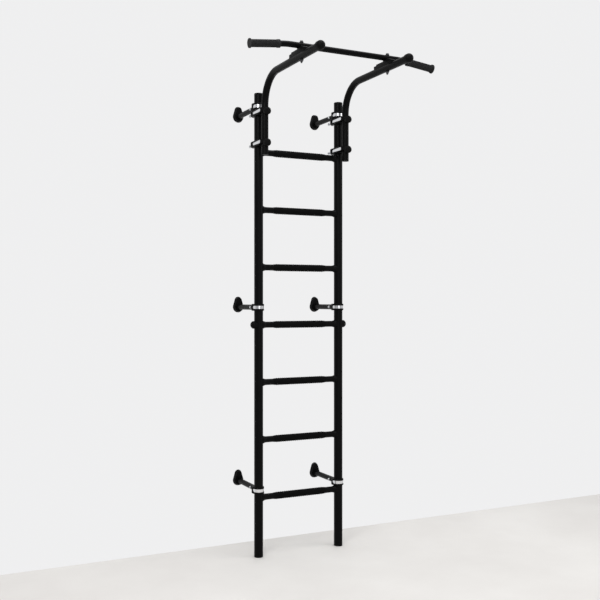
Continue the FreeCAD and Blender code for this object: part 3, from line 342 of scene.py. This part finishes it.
def screw(width, head, radius, pitch, length, threaded):
    """A bolt with its head up from z 0 and its shank down, threaded at its lower end."""
    shape = bmesh.new()
    hexagon(shape, width, head)
    outline = [(0, head / 2), (radius, head / 2), (radius, threaded - length)]
    for turn in range(int(threaded / pitch) - 1):
        outline.append((radius * THREAD_ROOT, threaded - length - (turn + 0.5) * pitch))
        outline.append((radius, threaded - length - (turn + 1) * pitch))
    outline += [(radius * SHANK_TIP, -length), (0, -length)]
    corners = [shape.verts.new((out, 0, up)) for out, up in outline]
    sides = [shape.edges.new(pair) for pair in zip(corners, corners[1:])]
    bmesh.ops.spin(shape, geom=corners + sides, cent=(0, 0, 0), axis=(0, 0, 1), angle=2 * math.pi,
                   steps=SHANK_SIDES, use_merge=True)
    bmesh.ops.remove_doubles(shape, verts=shape.verts, dist=SAME_PLACE)
    bmesh.ops.recalc_face_normals(shape, faces=shape.faces)
    return shape


def nut(width, height, radius):
    """A nut from z 0 up, with a round hole."""
    shape = bmesh.new()
    outer = bmesh.ops.create_circle(shape, segments=6, radius=width / math.sqrt(3))["verts"]
    turn = Matrix.Rotation(math.radians(30), 3, "Z")
    bmesh.ops.rotate(shape, verts=outer, cent=(0, 0, 0), matrix=turn)
    bmesh.ops.subdivide_edges(shape, edges=shape.edges[:], cuts=HOLE_SIDES // 6 - 1)
    border = shape.edges[:]
    bmesh.ops.create_circle(shape, segments=HOLE_SIDES, radius=radius)
    hole = [edge for edge in shape.edges if edge not in border]
    bmesh.ops.bridge_loops(shape, edges=border + hole)
    ring = bmesh.ops.extrude_face_region(shape, geom=shape.faces[:], use_keep_orig=True)
    raised = [item for item in ring["geom"] if isinstance(item, bmesh.types.BMVert)]
    bmesh.ops.translate(shape, verts=raised, vec=(0, 0, height))
    bmesh.ops.recalc_face_normals(shape, faces=shape.faces)
    return shape


def add(whole, part, place):
    """Moves a part by a 4 by 4 matrix, and puts it into a larger bmesh."""
    bmesh.ops.transform(part, matrix=place, verts=part.verts)
    bmesh.ops.recalc_face_normals(part, faces=part.faces)
    spare = bpy.data.meshes.new("spare")
    part.to_mesh(spare)
    part.free()
    whole.from_mesh(spare)
    bpy.data.meshes.remove(spare)


bolts, nuts = bmesh.new(), bmesh.new()
spots = [(STAY_BOLT_DEPTH, height, STAY_RADIUS) for height in BRACKET_HEIGHTS]
spots += [(CLAMP_BOLT_DEPTH, height, EARS_HALF_WIDTH) for height in CLAMP_HEIGHTS]
for side in (-1, 1):
    for depth, height, half in spots:
        outwards = Matrix.Rotation(math.radians(90 * side), 4, "Y")
        inwards = Matrix.Rotation(math.radians(-90 * side), 4, "Y")
        head_at = Matrix.Translation((side * (UPRIGHT_AXIS + half), depth, height))
        nut_at = Matrix.Translation((side * (UPRIGHT_AXIS - half), depth, height))
        length = 2 * half + M6_HEAD + M6_SPARE
        bolt = screw(M6_WIDTH, M6_HEAD, M6_RADIUS, M6_PITCH, length, M6_THREAD)
        add(bolts, bolt, head_at @ outwards)
        add(nuts, nut(M6_WIDTH, M6_HEAD, M6_RADIUS + NUT_GAP), nut_at @ inwards)
for name, shape in (("pinch_bolts", bolts), ("pinch_nuts", nuts)):
    made = piece("m6_" + name, shape, zinc)
    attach(made, "ladder")
    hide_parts(name)
coat(["rung_bolts"], zinc)

# Four double clamps hold the arms to the uprights, two on each side. Each has a black plastic
# liner that fits both tubes, a polished strap bent round its back, and a moulded black nose
# with a round knob over the arm.
coat(["clamp_liners", "clamp_noses"], black_plastic)

# The two arms are gooseneck tubes of steel, bent in one piece, with the same black coat. A
# domed plastic cap closes the front end of each, and a plastic plug its lower end.
coat(["left_arm", "right_arm"], black_coat)
coat(["left_tip_cap", "right_tip_cap", "arm_plugs"], black_plastic)

# The pull-up bar is one steel tube, bent so that its ends dip. It has the same black coat,
# and lies across both arms.
coat(["pull_up_bar"], black_coat)

# A moulded grip of fluted rubber is pushed over each end of the bar and closes it. It is
# dull, and a shade lighter than the rest.
grip_rubber = surface("fluted_grip_rubber", (0.010, 0.010, 0.0105), (0.017, 0.017, 0.0175),
                      patch=0.02, gloss=(0.62, 0.78), shine=0.2)
relief(grip_rubber, grain=0.0005, depth=0.00003, detail=5)
coat(["left_bar_grip", "right_bar_grip"], grip_rubber)

# The bar rests in a saddle on each arm, a block moulded from black plastic to fit both tubes.
# The edges round its two sides are softly rounded.
SADDLE_ROUNDING = 0.0009
SADDLE_HALF_WIDTH = 0.015
ON_THE_SIDE = 0.00005
FLAT_ANGLE = 1
EDGE_ANGLE = 25
for side in ("left", "right"):
    block = bmesh.new()
    block.from_mesh(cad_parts[f"{side}_bar_saddle"].data)
    bmesh.ops.remove_doubles(block, verts=block.verts, dist=SAME_PLACE)
    bmesh.ops.dissolve_limit(block, angle_limit=math.radians(FLAT_ANGLE), verts=block.verts,
                             edges=block.edges)
    middle = UPRIGHT_AXIS * (-1 if side == "left" else 1)
    edges = [edge for edge in block.edges if len(edge.link_faces) == 2
             and edge.calc_face_angle() > math.radians(EDGE_ANGLE)
             and all(abs(abs(corner.co.x - middle) - SADDLE_HALF_WIDTH) < ON_THE_SIDE
                     for corner in edge.verts)]
    bmesh.ops.bevel(block, geom=edges, offset=SADDLE_ROUNDING, affect="EDGES", segments=3, profile=0.5,
                    material=-1, clamp_overlap=True)
    bmesh.ops.recalc_face_normals(block, faces=block.faces)
    saddle = piece(f"{side}_saddle", block, black_plastic)
    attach(saddle, "pull_up_unit")
    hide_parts(f"{side}_bar_saddle")

# An M8 bolt stands through the bar, each saddle and its arm, with a hollowed washer at either
# end. They are dull zinc-plated steel, and the washers are blackened.
BAR_DEPTH = -0.715
BOLT_SEAT = 2.3194
BAR_NUT_TOP = 2.2415
M8_WIDTH, M8_HEAD, M8_RADIUS, M8_PITCH = 0.013, 0.0055, 0.004, 0.00125
BAR_BOLT_LENGTH = 0.0894
BAR_BOLT_THREAD = 0.015
dull_zinc = surface("dull_zinc_plating", (0.10, 0.10, 0.105), (0.17, 0.17, 0.175), patch=0.006,
                    gloss=(0.36, 0.5), metal=1)
relief(dull_zinc, grain=0.0004, depth=0.00001)
bolts, nuts = bmesh.new(), bmesh.new()
upside_down = Matrix.Rotation(math.pi, 4, "X")
for side in (-1, 1):
    top = Matrix.Translation((side * UPRIGHT_AXIS, BAR_DEPTH, BOLT_SEAT))
    below = Matrix.Translation((side * UPRIGHT_AXIS, BAR_DEPTH, BAR_NUT_TOP))
    bolt = screw(M8_WIDTH, M8_HEAD, M8_RADIUS, M8_PITCH, BAR_BOLT_LENGTH, BAR_BOLT_THREAD)
    add(bolts, bolt, top)
    add(nuts, nut(M8_WIDTH, M8_HEAD, M8_RADIUS + NUT_GAP), below @ upside_down)
for name, shape in (("bar_bolts", bolts), ("bar_nuts", nuts)):
    made = piece("m8_" + name, shape, dull_zinc)
    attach(made, "pull_up_unit")
    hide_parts(name)
blackened = surface("blackened_steel", (0.012, 0.012, 0.013), (0.022, 0.022, 0.024), patch=0.006,
                    gloss=(0.4, 0.5), metal=1)
relief(blackened, grain=0.0004, depth=0.00001)
coat(["bar_washers"], blackened)
